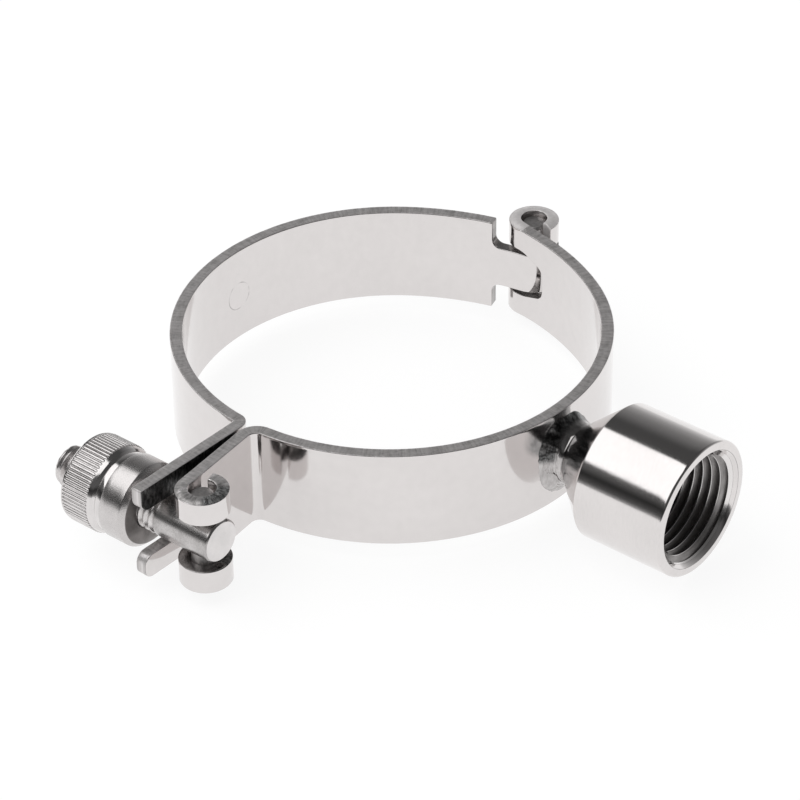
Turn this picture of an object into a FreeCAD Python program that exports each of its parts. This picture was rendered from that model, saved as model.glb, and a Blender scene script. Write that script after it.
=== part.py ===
import FreeCAD, Part
import math
import os

Vec = FreeCAD.Vector

# Hinged pipe clamp with a threaded boss. Millimetres.
# Z is the axis of the pipe, X the axis of the boss, the origin is the middle of the bore.

# Band
bore_diameter = 76.1
sheet = 2.3
band_width = 19.0

# Hinge: where its pin stands, and how far the rolls stand off the pipe
hinge_angle = 91.74
hinge_lift = 1.6
hinge_pin_diameter = 4.9
hinge_pin_recess = 0.4
hinge_flare_angle = 32.5
knuckle_wrap_end = -12.0
tongue_wrap = 270.0
tongue_width = 8.3
tongue_play = 0.05
knuckle_window = 10.0
window_past_roll = 0.9
window_corner = 1.2
shoulder_angle = 99.9
shoulder_corner = 1.7

# Lug of the slotted half: a flat fork with an open slot for the bolt
fork_bend_radius = 2.6
fork_face_x = -0.55
fork_lean = 1.9
fork_past_bolt = 7.3
fork_slot_width = 9.7
fork_tip_radius = 2.0
fork_corner_radius = 1.0
fork_edge_break = 0.4

# Lug of the boss half: a leaning plate that ends in two rolled eyes
eye_bend_radius = 4.0
eye_plate_x = -0.19
eye_reach = 20.35
eye_pin_x = 6.04
eye_pin_diameter = 4.9
eye_pin_recess = 0.6
eye_wrap_end = 110.0
eye_window = 10.0
eye_window_depth = 6.4
eye_window_corner = 1.5
pin_chamfer = 0.35

# Swing bolt
bolt_diameter = 8.0
bolt_tail = 3.9
bolt_length = 36.2
bolt_hole_play = 0.05
bolt_tail_chamfer = 0.4
bolt_tip_chamfer = 0.7

# Collar and nut, in the place where the bolt can just swing out of the fork
collar_diameter = 15.8
collar_length = 5.5
collar_chamfer = 0.9
collar_swing_gap = 0.08
nut_play = 0.05
nut_knurl_diameter = 16.8
nut_knurl_length = 6.0
nut_knurl_teeth = 70
nut_knurl_depth = 0.3
nut_rim_chamfer = 0.4
nut_cone_length = 1.3
nut_neck_diameter = 15.2
nut_neck_length = 1.3
nut_bore_chamfer = 0.5

# Boss with a pipe thread, cut here to the size of the thread crests
boss_diameter = 25.6
boss_mouth_x = 69.0
boss_back_x = 50.5
boss_back_round = 0.6
boss_neck_diameter = 11.2
boss_neck_x = 43.0
boss_thread_crest_diameter = 18.63
boss_countersink_diameter = 21.8
boss_mouth_chamfer = 0.25
boss_thread_depth = 16.5
boss_drill_cone = 3.0

# Weld between boss and band, with the blob where it was finished
weld_foot_diameter = 17.2
weld_height = 2.65
weld_spread = 0.8
weld_blob_y = -4.7
weld_blob_z = -5.1
weld_blob_radius = 1.9
weld_blob_rise = 0.55

# Worked out from the sizes above
bore_radius = bore_diameter / 2
band_outer_radius = bore_radius + sheet
half_width = band_width / 2
knuckle_radius = hinge_pin_diameter / 2 + sheet
tongue_radius = knuckle_radius + tongue_play
eye_radius = eye_pin_diameter / 2 + sheet
hinge_distance = bore_radius + tongue_radius + hinge_lift
eye_y = -(bore_radius + eye_reach)
fork_end_y = eye_y - fork_past_bolt


def polar(radius, degrees):
    return Vec(radius * math.cos(math.radians(degrees)), radius * math.sin(math.radians(degrees)), 0)


def direction_of(vector):
    return math.degrees(math.atan2(vector.y, vector.x))


hinge = polar(hinge_distance, hinge_angle)
eye = Vec(eye_pin_x, eye_y, 0)


def face_line(start, heading, moves, offset):
    # One face of a bent sheet: straight runs (length, None) and bends (radius, turn), left turns
    # positive. The radius is that of the pipe face; offset is how far this face lies to its left.
    edges = []
    place = start + polar(offset, heading + 90)
    for size, turn in moves:
        if turn is None:
            following = place + polar(size, heading)
            edges.append(Part.LineSegment(place, following).toShape())
        else:
            side = 1 if turn > 0 else -1
            radius = size - side * offset
            centre = place + polar(radius, heading + 90 * side)
            middle = centre + polar(radius, heading - 90 * side + turn / 2)
            following = centre + polar(radius, heading - 90 * side + turn)
            edges.append(Part.Arc(place, middle, following).toShape())
            heading += turn
        place = following
    return edges, place


def bent_sheet(start, heading, moves, offset):
    # A strip of sheet that follows the moves, as wide as the band
    pipe_face, pipe_end = face_line(start, heading, moves, 0)
    outer_face, outer_end = face_line(start, heading, moves, offset)
    first_cap = Part.LineSegment(start, start + polar(offset, heading + 90)).toShape()
    last_cap = Part.LineSegment(pipe_end, outer_end).toShape()
    wire = Part.Wire(Part.__sortEdges__(pipe_face + outer_face + [first_cap, last_cap]))
    strip = Part.Face(wire).extrude(Vec(0, 0, band_width))
    strip.translate(Vec(0, 0, -half_width))
    return strip


def flare(roll_radius, start_angle):
    # The band opens out towards the hinge on one wider arc that runs into the roll
    reach = bore_radius + roll_radius
    along = hinge.dot(polar(1, start_angle))
    shift = (hinge_distance ** 2 - reach ** 2) / (2 * (reach - along))
    centre = polar(-shift, start_angle)
    return bore_radius + shift, direction_of(hinge - centre)


def rounded_block(length, width, height, rounds):
    # A block with its corner at the origin; rounds gives (corner x, corner y, radius)
    block = Part.makeBox(length, width, height)
    for x, y, radius in rounds:
        edges = [e for e in block.Edges
                 if all(abs(v.X - x) < 0.001 and abs(v.Y - y) < 0.001 for v in e.Vertexes)]
        block = block.makeFillet(radius, edges)
    return block


def slotted_half_band():
    # Runs from the tongue round the pipe to the fork; the pipe lies to the left of the walk
    flare_start = hinge_angle + hinge_flare_angle
    flare_radius, flare_end = flare(tongue_radius, flare_start)
    bend_reach = bore_radius + fork_bend_radius
    bend_angle = 270 - math.degrees(math.asin((fork_bend_radius - fork_face_x) / bend_reach))
    roll_end = flare_end + 180 - 360 + tongue_wrap
    bend_turn = -90 - fork_lean - (bend_angle - 270)
    bend_centre = polar(bend_reach, bend_angle)
    bend_foot = bend_centre.y - fork_bend_radius * math.sin(math.radians(fork_lean))
    plate_length = (bend_foot - fork_end_y) / math.cos(math.radians(fork_lean))
    moves = [
        (tongue_radius, -tongue_wrap),
        (flare_radius, flare_start - flare_end),
        (bore_radius, bend_angle - flare_start),
        (fork_bend_radius, bend_turn),
        (plate_length, None),
    ]
    start = hinge + polar(tongue_radius, roll_end)
    band = bent_sheet(start, roll_end - 90, moves, -sheet)
    for tool in (shoulder_notch(1), shoulder_notch(-1), fork_slot(), fork_corner(-1)):
        band = band.cut(tool)
    band = band.cut(fork_heel())
    return band.removeSplitter()


def shoulder_notch(side):
    # Frees the tongue: everything past the shoulder, above or below it, goes
    length = 3 * knuckle_radius + sheet
    depth = half_width - tongue_width / 2
    inside = bore_radius - 2 * sheet
    reach = hinge_distance + tongue_radius + sheet - inside
    block = rounded_block(length, depth + 1, reach, [(0, 0, shoulder_corner)])
    block.rotate(Vec(0, 0, 0), Vec(1, 0, 0), 90)
    block.translate(Vec(0, reach, 0))
    if side < 0:
        block = block.mirror(Vec(0, 0, 0), Vec(0, 0, 1))
    block.translate(Vec(0, 0, side * tongue_width / 2))
    block.rotate(Vec(0, 0, 0), Vec(0, 0, 1), shoulder_angle - 90)
    block.translate(polar(inside, shoulder_angle))
    return block


def fork_slot():
    # Open slot with a round root, its mouth rounded on both prongs
    root_y = eye_y + 0.2
    across = 8 * sheet
    radius = fork_slot_width / 2
    mouth = fork_end_y - 1
    slot = Part.makeBox(across, root_y - mouth, fork_slot_width)
    slot.translate(Vec(-across / 2, mouth, -radius))
    root = Part.makeCylinder(radius, across, Vec(-across / 2, root_y, 0), Vec(1, 0, 0))
    slot = slot.fuse(root)
    for side in (1, -1):
        slot = slot.fuse(prong_round(side, radius, fork_tip_radius))
    centre_x = fork_face_x - sheet / 2 - 0.5
    slot.translate(Vec(centre_x, 0, 0))
    return slot


def prong_round(side, edge_z, radius):
    # Rounds the corner of a prong at its tip; the corner lies at edge_z on the slot side
    across = 8 * sheet
    corner = Part.makeBox(across, radius + 1, radius, Vec(-across / 2, fork_end_y - 1, 0))
    centre = Vec(-across / 2, fork_end_y + radius, radius)
    corner = corner.cut(Part.makeCylinder(radius, across, centre, Vec(1, 0, 0)))
    corner.translate(Vec(0, 0, edge_z))
    if side < 0:
        corner = corner.mirror(Vec(0, 0, 0), Vec(0, 0, 1))
    return corner


def fork_corner(side):
    # Rounds the outer corner of one prong
    across = 8 * sheet
    radius = fork_corner_radius
    corner = Part.makeBox(across, radius + 1, radius + 1, Vec(-across / 2, fork_end_y - 1, 0))
    centre = Vec(-across / 2, fork_end_y + radius, 0)
    corner = corner.cut(Part.makeCylinder(radius, across, centre, Vec(1, 0, 0)))
    corner.translate(Vec(fork_face_x - sheet / 2 - 0.5, 0, half_width - radius))
    if side < 0:
        corner = corner.mirror(Vec(0, 0, 0), Vec(0, 0, 1))
    return corner


def fork_rear_x(y):
    # The fork's rear face, the one the collar presses on
    foot = polar(bore_radius + fork_bend_radius, 270).y
    return fork_face_x - sheet + (y - foot) * math.tan(math.radians(fork_lean))


def fork_heel():
    # The rear edge of the tips is broken
    size = fork_edge_break
    x = fork_rear_x(fork_end_y)
    points = [
        Vec(x - size, fork_end_y - size, 0),
        Vec(x + 2 * size, fork_end_y - size, 0),
        Vec(x - size, fork_end_y + 2 * size, 0),
    ]
    wedge = Part.Face(Part.makePolygon(points + points[:1])).extrude(Vec(0, 0, band_width + 2))
    wedge.translate(Vec(0, 0, -half_width - 1))
    return wedge


def boss_half_band():
    # Runs from the hinge knuckles round the pipe to the eyes; the pipe lies to the right
    flare_start = hinge_angle - hinge_flare_angle
    flare_radius, flare_end = flare(knuckle_radius, flare_start)
    bend_reach = bore_radius + eye_bend_radius
    lean_in = (eye_bend_radius + eye_plate_x) / bend_reach
    bend_angle = -90 + math.degrees(math.asin(lean_in))
    bend_centre = polar(bend_reach, bend_angle)
    span = eye - bend_centre
    drop = eye_radius - eye_bend_radius
    plate_heading = direction_of(span) - math.degrees(math.asin(drop / span.Length))
    plate_length = math.sqrt(span.Length ** 2 - drop ** 2)
    moves = [
        (knuckle_radius, flare_end + 180 - knuckle_wrap_end),
        (flare_radius, flare_start - flare_end),
        (bore_radius, bend_angle - flare_start),
        (eye_bend_radius, plate_heading - (bend_angle - 90)),
        (plate_length, None),
        (eye_radius, eye_wrap_end - (plate_heading - 90)),
    ]
    start = hinge + polar(knuckle_radius, knuckle_wrap_end)
    band = bent_sheet(start, knuckle_wrap_end + 90, moves, sheet)
    band = band.cut(hinge_window())
    band = band.cut(eye_gap())
    return band.removeSplitter()


def hinge_window():
    # Room for the tongue between the two knuckles
    right = hinge.x + tongue_radius + window_past_roll
    left = hinge.x - 2 * knuckle_radius
    depth = 4 * knuckle_radius
    rounds = [(right - left, 0, window_corner), (right - left, knuckle_window, window_corner)]
    block = rounded_block(right - left, knuckle_window, depth, rounds)
    block.rotate(Vec(0, 0, 0), Vec(1, 0, 0), 90)
    block.translate(Vec(left, hinge.y + depth / 2, -knuckle_window / 2))
    return block


def eye_gap():
    # Room for the bolt between the two eyes and some way up the plate
    across = 5 * eye_radius
    length = 2 * eye_radius + eye_window_depth
    rounds = [(length, 0, eye_window_corner), (length, eye_window, eye_window_corner)]
    block = rounded_block(length, eye_window, across, rounds)
    block.rotate(Vec(0, 0, 0), Vec(1, 0, 0), 90)
    block.rotate(Vec(0, 0, 0), Vec(0, 0, 1), 90)
    top = eye_y + eye_window_depth
    block.translate(Vec(eye.x - across / 2, top - length, -eye_window / 2))
    return block


def turned_part(profile):
    # A body turned about the X axis from (x, radius) points
    points = [Vec(x, radius, 0) for x, radius in profile]
    face = Part.Face(Part.makePolygon(points + points[:1]))
    return face.revolve(Vec(0, 0, 0), Vec(1, 0, 0), 360)


def round_pin(centre, radius, length):
    pin = Part.makeCylinder(radius, length, Vec(centre.x, centre.y, -length / 2))
    rims = [e for e in pin.Edges if len(e.Vertexes) == 1]
    return pin.makeChamfer(pin_chamfer, rims)


def hinge_pin():
    return round_pin(hinge, hinge_pin_diameter / 2, band_width - 2 * hinge_pin_recess)


def eye_pin():
    return round_pin(eye, eye_pin_diameter / 2, band_width - 2 * eye_pin_recess)


def swing_bolt():
    # Plain rod with a cross hole at the tail; the pin passes through the hole
    radius = bolt_diameter / 2
    tail = eye.x + bolt_tail
    tip = tail - bolt_length
    bolt = turned_part([
        (tail, 0),
        (tail, radius - bolt_tail_chamfer),
        (tail - bolt_tail_chamfer, radius),
        (tip + bolt_tip_chamfer, radius),
        (tip, radius - bolt_tip_chamfer),
        (tip, 0),
    ])
    bolt.translate(Vec(0, eye_y, 0))
    hole = eye_pin_diameter / 2 + bolt_hole_play
    return bolt.cut(Part.makeCylinder(hole, 2 * bolt_diameter, Vec(eye.x, eye_y, -bolt_diameter)))


def collar_front_x():
    # Far enough back that the bolt swings out past the tips of the fork
    rear_x = fork_rear_x(fork_end_y)
    corners = [
        Vec(rear_x + fork_edge_break, fork_end_y, 0),
        Vec(rear_x, fork_end_y + fork_edge_break, 0),
    ]
    swing = max((corner - eye).Length for corner in corners)
    return eye.x - swing - collar_swing_gap


def collar():
    bore = bolt_diameter / 2 + nut_play
    radius = collar_diameter / 2
    front = collar_front_x()
    rear = front - collar_length
    ring = turned_part([
        (front, bore),
        (front, radius - collar_chamfer),
        (front - collar_chamfer, radius),
        (rear, radius),
        (rear, bore),
    ])
    ring.translate(Vec(0, eye_y, 0))
    return ring


def knurled_nut():
    bore = bolt_diameter / 2 + nut_play
    knurl = nut_knurl_diameter / 2
    root = knurl - nut_knurl_depth
    neck = nut_neck_diameter / 2
    start = collar_front_x() - collar_length
    cone_end = start - nut_neck_length
    knurl_start = cone_end - nut_cone_length
    end = knurl_start - nut_knurl_length
    blank = turned_part([
        (start, bore),
        (start, neck),
        (cone_end, neck),
        (knurl_start, root),
        (knurl_start, knurl),
        (end + nut_rim_chamfer, knurl),
        (end, knurl - nut_rim_chamfer),
        (end, bore + nut_bore_chamfer),
        (end + nut_bore_chamfer, bore),
    ])
    points = []
    for tooth in range(2 * nut_knurl_teeth):
        radius = knurl if tooth % 2 == 0 else root
        angle = math.pi * tooth / nut_knurl_teeth
        points.append(Vec(end, radius * math.cos(angle), radius * math.sin(angle)))
    toothed = Part.Face(Part.makePolygon(points + points[:1])).extrude(Vec(knurl_start - end, 0, 0))
    smooth = Part.makeCylinder(knurl, 2 * nut_knurl_length, Vec(knurl_start, 0, 0), Vec(1, 0, 0))
    nut = blank.common(toothed.fuse(smooth))
    nut.translate(Vec(0, eye_y, 0))
    return nut.removeSplitter()


def threaded_boss():
    # Turned boss on a narrow neck that meets the curve of the band
    radius = boss_diameter / 2
    neck = boss_neck_diameter / 2
    crest = boss_thread_crest_diameter / 2
    sink = boss_countersink_diameter / 2
    mouth = boss_mouth_x
    floor = mouth - boss_thread_depth
    back = boss_back_x
    boss = turned_part([
        (bore_radius, 0),
        (bore_radius, neck),
        (boss_neck_x, neck),
        (back - boss_back_round * 0.3, radius - boss_back_round),
        (back + boss_back_round * 0.2, radius - boss_back_round * 0.25),
        (back + boss_back_round, radius),
        (mouth - boss_mouth_chamfer, radius),
        (mouth, radius - boss_mouth_chamfer),
        (mouth, sink),
        (mouth - (sink - crest), crest),
        (floor, crest),
        (floor - boss_drill_cone, 0),
    ])
    return boss.cut(band_core())


def band_core():
    return Part.makeCylinder(band_outer_radius, 2 * band_width, Vec(0, 0, -band_width))


def boss_weld():
    # Hollow fillet round the neck, spread over the curve of the band, with one round blob
    neck = boss_neck_diameter / 2
    foot = weld_foot_diameter / 2
    throat_x = band_outer_radius + weld_height
    hollow = foot - neck
    edge_x = band_outer_radius - 0.05
    low_x = bore_radius
    top = Vec(throat_x, neck, 0)
    edge = Vec(edge_x, foot, 0)
    bow = (top + edge) * 0.5 + Vec(-0.2, -0.2, 0) * hollow
    edges = [
        Part.Arc(top, bow, edge).toShape(),
        Part.LineSegment(edge, Vec(low_x, foot + weld_spread, 0)).toShape(),
        Part.LineSegment(Vec(low_x, foot + weld_spread, 0), Vec(low_x, neck, 0)).toShape(),
        Part.LineSegment(Vec(low_x, neck, 0), top).toShape(),
    ]
    bead = Part.Face(Part.Wire(edges)).revolve(Vec(0, 0, 0), Vec(1, 0, 0), 360)
    from_axis = math.hypot(weld_blob_y, weld_blob_z)
    sag = hollow - math.sqrt(hollow ** 2 - (foot - from_axis) ** 2)
    seat_x = throat_x - hollow + sag
    blob_x = seat_x + weld_blob_rise - weld_blob_radius
    blob = Part.makeSphere(weld_blob_radius, Vec(blob_x, weld_blob_y, weld_blob_z))
    stem = Part.makeCylinder(neck, throat_x + hollow, Vec(0, 0, 0), Vec(1, 0, 0))
    return bead.fuse(blob).cut(stem).cut(band_core()).removeSplitter()


nodes = {
    "slotted_half_band": slotted_half_band,
    "boss_half_band": boss_half_band,
    "hinge_pin": hinge_pin,
    "eye_pin": eye_pin,
    "swing_bolt": swing_bolt,
    "collar": collar,
    "knurled_nut": knurled_nut,
    "threaded_boss": threaded_boss,
    "boss_weld": boss_weld,
}

os.makedirs("parts", exist_ok=True)
for name, make in nodes.items():
    shape = make()
    shape.exportStep("parts/" + name + ".step")
    print(name, shape.ShapeType, len(shape.Solids), round(shape.Volume, 1), shape.isValid())
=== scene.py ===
import math

import bmesh
import bpy
from mathutils import Matrix, Vector, noise


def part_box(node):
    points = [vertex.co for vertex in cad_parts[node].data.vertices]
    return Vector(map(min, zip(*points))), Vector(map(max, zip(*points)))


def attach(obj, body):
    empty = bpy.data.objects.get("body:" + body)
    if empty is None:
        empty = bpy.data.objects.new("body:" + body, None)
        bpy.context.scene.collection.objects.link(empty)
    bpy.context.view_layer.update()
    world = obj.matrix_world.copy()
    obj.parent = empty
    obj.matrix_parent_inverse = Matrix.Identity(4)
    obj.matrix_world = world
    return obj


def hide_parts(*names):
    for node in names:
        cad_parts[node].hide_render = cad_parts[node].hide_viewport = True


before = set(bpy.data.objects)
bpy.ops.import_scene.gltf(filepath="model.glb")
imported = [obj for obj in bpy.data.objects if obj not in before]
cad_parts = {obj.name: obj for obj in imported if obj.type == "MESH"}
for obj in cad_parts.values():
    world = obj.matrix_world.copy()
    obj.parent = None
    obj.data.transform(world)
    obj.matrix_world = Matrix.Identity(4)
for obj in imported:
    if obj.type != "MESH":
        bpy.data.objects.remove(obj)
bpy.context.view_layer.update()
mm = 0.001


# Small helpers

def lengths(**sizes):
    # Given in millimetres
    return {key: size * mm for key, size in sizes.items()}


def polar(radius, degrees):
    angle = math.radians(degrees)
    return Vector((radius * math.cos(angle), radius * math.sin(angle)))


def directionOf(vector):
    return math.degrees(math.atan2(vector.y, vector.x))


def shapeCentre(node):
    low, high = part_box(node)
    return (low + high) / 2


def roundedPath(corners, steps=4):
    # corners are (x, y, radius); each corner with a radius becomes a short arc
    longestStep = 0.3 * mm
    path = []
    count = len(corners)
    for i in range(count):
        here = Vector(corners[i][:2])
        radius = corners[i][2]
        back = (Vector(corners[i - 1][:2]) - here).normalized()
        ahead = (Vector(corners[(i + 1) % count][:2]) - here).normalized()
        if radius <= 0:
            path.append(here)
            continue
        half = back.angle(ahead) / 2
        centre = here + (back + ahead).normalized() * (radius / math.sin(half))
        first = here + back * (radius / math.tan(half)) - centre
        last = here + ahead * (radius / math.tan(half)) - centre
        turn = first.angle_signed(last)
        pieces = max(steps, int(abs(turn) * radius / longestStep))
        for k in range(pieces + 1):
            step = first.copy()
            step.rotate(Matrix.Rotation(-turn * k / pieces, 2))
            path.append(centre + step)
    return path


def linked(name, data):
    thing = bpy.data.objects.new(name, data)
    bpy.context.scene.collection.objects.link(thing)
    return thing


def baked(thing):
    # Keeps the plain mesh that the object's modifiers give; the object itself goes
    graph = bpy.context.evaluated_depsgraph_get()
    mesh = bpy.data.meshes.new_from_object(thing.evaluated_get(graph))
    bpy.data.objects.remove(thing)
    return mesh


def newPiece(name, mesh, body, slotName, *nodes):
    piece = linked(name, mesh)
    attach(piece, body)
    if nodes:
        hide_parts(*nodes)
    return piece


def evenPiece(*particulars):
    # A piece whose wide faces keep their own direction beside narrow rounded edges
    piece = newPiece(*particulars)
    piece.data.shade_smooth()
    weighted = piece.modifiers.new("evenNormals", "WEIGHTED_NORMAL")
    weighted.mode = "FACE_AREA"
    weighted.weight = 60
    weighted.keep_sharp = True


def paint(mesh, keys, choose=None):
    # choose gives the number of the finish at a face's centre
    for key in keys:
        mesh.materials.append(materials[key])
    if choose:
        for polygon in mesh.polygons:
            polygon.material_index = choose(polygon.center)
    return mesh


def finished(build, name):
    # A closed shell becomes a mesh with its faces pointing outwards
    bmesh.ops.recalc_face_normals(build, faces=build.faces)
    if build.calc_volume(signed=True) < 0:
        bmesh.ops.reverse_faces(build, faces=build.faces)
    mesh = bpy.data.meshes.new(name)
    build.to_mesh(mesh)
    build.free()
    return mesh


def shell(name, rows):
    # Each row of points, a ring or a single point, is joined to the next, the last to the first
    build = bmesh.new()
    rings = [[build.verts.new(point) for point in row] for row in rows]
    for a, b in zip(rings, rings[1:] + rings[:1]):
        count = max(len(a), len(b))
        if count == 1:
            continue
        for i in range(count):
            j = (i + 1) % count
            corners = (a[i % len(a)], a[j % len(a)], b[j % len(b)], b[i % len(b)])
            build.faces.new(list(dict.fromkeys(corners)))
    return finished(build, name)


def turnedMesh(name, profile, segments, axisPoint=(0, 0, 0), axis=(1, 0, 0)):
    # profile is a closed list of (along, radius); along runs on the axis from axisPoint
    along = Vector(axis)
    side = Vector((0, 0, 1)) if abs(along.z) < 0.5 else Vector((1, 0, 0))
    across = along.cross(side)
    angles = [2 * math.pi * i / segments for i in range(segments)]
    spokes = [side * math.cos(angle) + across * math.sin(angle) for angle in angles]
    rows = []
    for distance, radius in profile:
        middle = Vector(axisPoint) + along * distance
        rows.append([middle] if radius < 1e-7 else [middle + spoke * radius for spoke in spokes])
    return shell(name, rows)


# Node helpers

def put(tree, kind, wires=None, **settings):
    # wires maps an input's name or number to a value or to another node's output
    node = tree.nodes.new(kind)
    for key, value in settings.items():
        setattr(node, key, value)
    for key, value in (wires or {}).items():
        socket = node.inputs[key]
        if isinstance(value, bpy.types.NodeSocket):
            tree.links.new(value, socket)
        else:
            socket.default_value = value
    return node


def made(tree, kind, wires=None, **settings):
    return put(tree, kind, wires, **settings).outputs[0]


def sums(tree, operation, *values):
    return made(tree, "ShaderNodeMath", dict(enumerate(values)), operation=operation)


def times(tree, first, second):
    return sums(tree, "MULTIPLY", first, second)


def measured(tree, operation, vectors):
    return put(tree, "ShaderNodeVectorMath", vectors, operation=operation).outputs["Value"]


def spanned(tree, value, low, high, toLow=0.0, toHigh=1.0, smooth=False):
    # The value from low to high is carried over to toLow to toHigh
    kind = "SMOOTHSTEP" if smooth else "LINEAR"
    return put(tree, "ShaderNodeMapRange", {
        "Value": value, "From Min": low, "From Max": high,
        "To Min": toLow, "To Max": toHigh}, interpolation_type=kind).outputs["Result"]


def blendTone(tree, factor, first, second):
    return put(tree, "ShaderNodeMix", {0: factor, 6: first, 7: second}, data_type="RGBA").outputs[2]


def combined(tree, x=0.0, y=0.0, z=0.0):
    return made(tree, "ShaderNodeCombineXYZ", {"X": x, "Y": y, "Z": z})


def parted(tree, place):
    return put(tree, "ShaderNodeSeparateXYZ", {0: place}).outputs


def mapped(tree, source):
    return put(tree, "ShaderNodeTexCoord").outputs[source]


def emptied(owner):
    # The node tree of a material or a world, without the nodes it starts with
    owner.use_nodes = True
    owner.node_tree.nodes.clear()
    return owner.node_tree


def grey(value):
    return (value, value, value, 1)


# Finishes

# Each finish: base tone and its darker share, roughness range, sizes of cloudy and fine grain
# per metre, strength and depth of the grain's relief, how many dark specks it has, matt share
finishes = {
    "polishedSheet": dict(
        tone=(0.70, 0.672, 0.665), dark=(0.672, 0.645, 0.638), roughness=(0.08, 0.11),
        broad=(45, 60, 45), grain=(500, 420, 500), bump=0.008, onSheet=True),
    "shearedEdge": dict(
        tone=(0.86, 0.83, 0.825), dark=(0.42, 0.405, 0.40), roughness=(0.34, 0.60), matt=0.12,
        broad=(420, 900, 420), grain=(1700, 230, 1700), bump=1.0, depth=0.10 * mm,
        speckle=0.25, onSheet=True),
    "rolledEdge": dict(
        tone=(0.84, 0.81, 0.805), dark=(0.66, 0.64, 0.635), roughness=(0.46, 0.60), matt=0.45,
        broad=(260, 300, 260), grain=(900, 700, 900), bump=0.16, speckle=0.08, onSheet=True),
    "tornEdge": dict(
        tone=(0.92, 0.89, 0.885), dark=(0.12, 0.115, 0.11), roughness=(0.26, 0.50), matt=0.1,
        broad=(190, 260, 190), grain=(1100, 420, 1100), bump=1.0, depth=0.16 * mm,
        speckle=0.3, onSheet=True),
    # Cut edges of tongue and window: smoother than sheared edges, and darker, which is painted shade
    # from the tongue and knuckle
    "shadedCutEdge": dict(
        tone=(0.52, 0.50, 0.495), dark=(0.26, 0.25, 0.245), roughness=(0.16, 0.30),
        broad=200, grain=(1900, 400, 1900), bump=0.35, speckle=0.15, onSheet=True),
    "turnedBoss": dict(
        tone=(0.71, 0.682, 0.675), dark=(0.665, 0.64, 0.632), roughness=(0.08, 0.13),
        broad=90, grain=(5600, 900, 900), bump=0.15, speckle=0.03),
    # Dark cut steel: its dark tone is painted shade, for the inside of the boss's bore and thread, a
    # shaded line round the countersink, and the collar's face next to the fork
    "shadedCutSteel": dict(
        tone=(0.36, 0.345, 0.34), dark=(0.22, 0.21, 0.205), roughness=(0.34, 0.48),
        broad=200, grain=(3000, 300, 300), bump=0.05, speckle=0.05),
    "weldBead": dict(
        tone=(0.55, 0.53, 0.525), dark=(0.36, 0.345, 0.34), roughness=(0.08, 0.16),
        broad=(420, 420, 300), grain=(1700, 1700, 260), bump=0.22, speckle=0.1),
    "satinRod": dict(
        tone=(0.70, 0.675, 0.67), dark=(0.55, 0.53, 0.525), roughness=(0.24, 0.34),
        broad=300, grain=(4600, 3000, 3000), bump=0.16),
    "satinShank": dict(
        tone=(0.56, 0.54, 0.535), dark=(0.36, 0.345, 0.34), roughness=(0.22, 0.34),
        broad=300, grain=(4600, 3000, 3000), bump=0.18),
    "satinCollar": dict(
        tone=(0.62, 0.597, 0.592), dark=(0.52, 0.50, 0.495), roughness=(0.22, 0.31),
        broad=200, grain=(5600, 4600, 4600), bump=0.30),
    "turnedNut": dict(
        tone=(0.71, 0.685, 0.68), dark=(0.62, 0.60, 0.595), roughness=(0.10, 0.17),
        broad=240, grain=(5200, 300, 300), bump=0.07, speckle=0.05),
    "knurl": dict(
        tone=(0.72, 0.695, 0.69), dark=(0.56, 0.54, 0.535), roughness=(0.17, 0.28),
        broad=500, grain=(1200, 3000, 3000), bump=0.25, speckle=0.05),
    "dullPin": dict(
        tone=(0.60, 0.58, 0.575), dark=(0.38, 0.365, 0.36), roughness=(0.34, 0.50),
        broad=700, grain=(2200, 2200, 900), bump=0.3, speckle=0.3),
}
# Where the noises are cut, and how fine those of the specks and of the mark's gaps are
noiseCuts = dict(grain=(0.36, 0.62), specks=(0.60, 0.74), scratches=(0.42, 0.68), gaps=(0.40, 0.60))
speckScale, gapScale = 1900, 520
witnessMark = dict(angle=179.0, height=-0.3 * mm, radius=2.8 * mm, width=0.18 * mm,
                   relief=0.5, depth=0.06 * mm, tone=(0.20, 0.19, 0.19, 1))


def grainNoise(tree, place, scale, detail, roughness):
    sizes = scale if isinstance(scale, tuple) else (scale,) * 3
    stretched = made(tree, "ShaderNodeMapping", {"Vector": place, "Scale": sizes})
    return put(tree, "ShaderNodeTexNoise", {
        "Vector": stretched, "Scale": 1.0, "Detail": detail, "Roughness": roughness}).outputs["Fac"]


def ringMark(tree, place, spot):
    # Height 1 on a thin broken circle round the spot, 0 elsewhere
    away = measured(tree, "DISTANCE", {0: place, 1: spot})
    off = sums(tree, "SUBTRACT", away, witnessMark["radius"])
    line = spanned(tree, sums(tree, "ABSOLUTE", off), 0.0, witnessMark["width"], 1.0, 0.0, smooth=True)
    patches = spanned(tree, grainNoise(tree, place, gapScale, 2.0, 0.5), *noiseCuts["gaps"])
    return times(tree, line, patches)


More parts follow.
